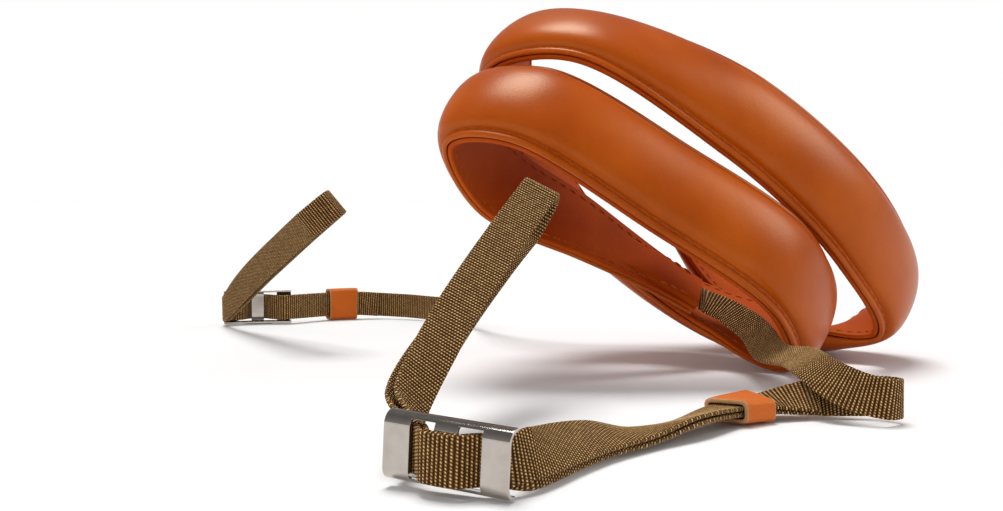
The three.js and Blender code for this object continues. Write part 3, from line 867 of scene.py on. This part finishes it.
def stitch_row(across, out, side):
    """Rings of each stitch in one row at the given height; side is 1 on the face and -1 on the backing."""
    middles = np.arange(STITCH.first, strip.along[-1] - STITCH.first, STITCH.pitch)
    turns = np.linspace(0.0, 2 * math.pi, THREAD_SIDES, endpoint=False)
    slanted = STITCH_PROFILE[:, 0] * math.tan(math.radians(STITCH.slant))
    ring = STITCH.radius * STITCH_PROFILE[:, 1][:, None]
    carried = strip.place, strip.wide, strip.out
    blocks = []
    for middle in middles:
        along = middle + STITCH_PROFILE[:, 0] * STITCH.length / 2
        place, wide, outward = (at_lengths(values, along) for values in carried)
        lift = np.interp(along, strip.along, out) + side * (STITCH.lift - STITCH_PROFILE[:, 2])
        offset = np.interp(along, strip.along, across) + slanted
        centre = place + wide * offset[:, None] + outward * lift[:, None]
        sideways = wide[:, None] * (ring * np.cos(turns))[..., None]
        upward = outward[:, None] * (ring * np.sin(turns))[..., None]
        blocks.append((centre[:, None] + (sideways - upward)).reshape(-1, 3))
    return blocks


blocks = []
for margin in (-1, 1):
    across = margin * (half_width - STITCH_INSET)
    groove_height = np.full(stations, GROOVE_HEIGHT)
    under_height = back_height(across[:, None])[:, 0] - PAD.back
    blocks += stitch_row(across, groove_height, 1) + stitch_row(across, under_height, -1)
stitch_faces = loft_faces(len(STITCH_PROFILE), THREAD_SIDES)
stitch_size = len(blocks[0])
faces = [[number * stitch_size + index for index in face]
         for number in range(len(blocks)) for face in stitch_faces]
new_piece("edge_stitches", np.vstack(blocks), faces, [thread_finish])

# %% [markdown]
# ## Studio
#
# A white sweep with large soft lights suits brown leather: the broad highlight on the crown shows its
# fullness, and the soft shadow sets the strap on the table. The floor is stage, not part of the strap.

# %% Floor
FLOOR_SIZE = 6.0
FLOOR_DROP = 0.1 * MM
reach = FLOOR_SIZE / 2
floor_mesh = bpy.data.meshes.new("studio_floor")
floor_corners = [(-reach, -reach, 0.0), (reach, -reach, 0.0), (reach, reach, 0.0), (-reach, reach, 0.0)]
floor_mesh.from_pydata(floor_corners, [], [(0, 1, 2, 3)])
floor = bpy.data.objects.new("studio_floor", floor_mesh)
floor.location.z = -FLOOR_DROP
bpy.context.scene.collection.objects.link(floor)
floor_finish, recipe, surface = new_material("pale_floor")
mottle = recipe.node("ShaderNodeTexNoise", {"Scale": 6.0, "Detail": 3.0}).outputs["Fac"]
pale = recipe.ramp(mottle, (0.3, (0.86, 0.86, 0.86, 1)), (0.7, (0.9, 0.9, 0.9, 1)))
recipe.put(pale, surface["Base Color"])
recipe.put(0.6, surface["Roughness"])
floor_mesh.materials.append(floor_finish)
print("floor", FLOOR_SIZE, "m wide")

# %% [markdown]
# The room is white to above eye level, with a dark ceiling that keeps the leather's colour deep and draws
# the rolled edges of the metal. A light that would put a hard white band on the metal lights surfaces
# without being mirrored, and one strip does the opposite.

# %% Lights and room
# Columns: name, direction toward the light, its apparent width in degrees, strength,
# whether it lights surfaces and whether it is mirrored in them
LIGHTS = [
    ("overhead_softbox", (-0.08, 0.19, 0.98), 28.0, 2.5, True, True),
    ("right_softbox", (0.91, 0.02, 0.41), 40.0, 0.6, True, False),
    ("right_strip", (0.79, 0.02, 0.61), 24.0, 0.85, False, True),
    ("left_bounce", (-0.5, -0.45, 0.74), 80.0, 0.85, True, False),
]
# Columns: height of the view direction, grey of the room there
ROOM_GREYS = [(0.15, 1.0), (0.18, 0.34), (1.0, 0.14)]
for name, direction, width, strength, lights_surfaces, mirrored in LIGHTS:
    data = bpy.data.lights.new(name, "SUN")
    data.angle = math.radians(width)
    data.energy = strength
    lamp = bpy.data.objects.new(name, data)
    lamp.rotation_euler = Vector(direction).to_track_quat("Z", "Y").to_euler()
    lamp.location = Vector(direction)
    lamp.visible_diffuse = lights_surfaces
    lamp.visible_glossy = mirrored
    bpy.context.scene.collection.objects.link(lamp)

world = bpy.data.worlds.new("white_room")
bpy.context.scene.world = world
world.use_nodes = True
room = Recipe(world.node_tree)
toward = room.node("ShaderNodeTexCoord").outputs["Generated"]
upward = room.node("ShaderNodeSeparateXYZ", {0: toward}).outputs[2]
room_shade = room.ramp(upward, *((height, (grey, grey, grey, 1)) for height, grey in ROOM_GREYS))
room.put(room_shade, world.node_tree.nodes["Background"].inputs["Color"])
bpy.context.scene.view_settings.view_transform = "Standard"
print(len(LIGHTS), "lights in a white room")

# %% Boxes
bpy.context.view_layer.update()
print("solids' box, mm:", (np.subtract(cad_box[1], cad_box[0]) / MM).round(1))
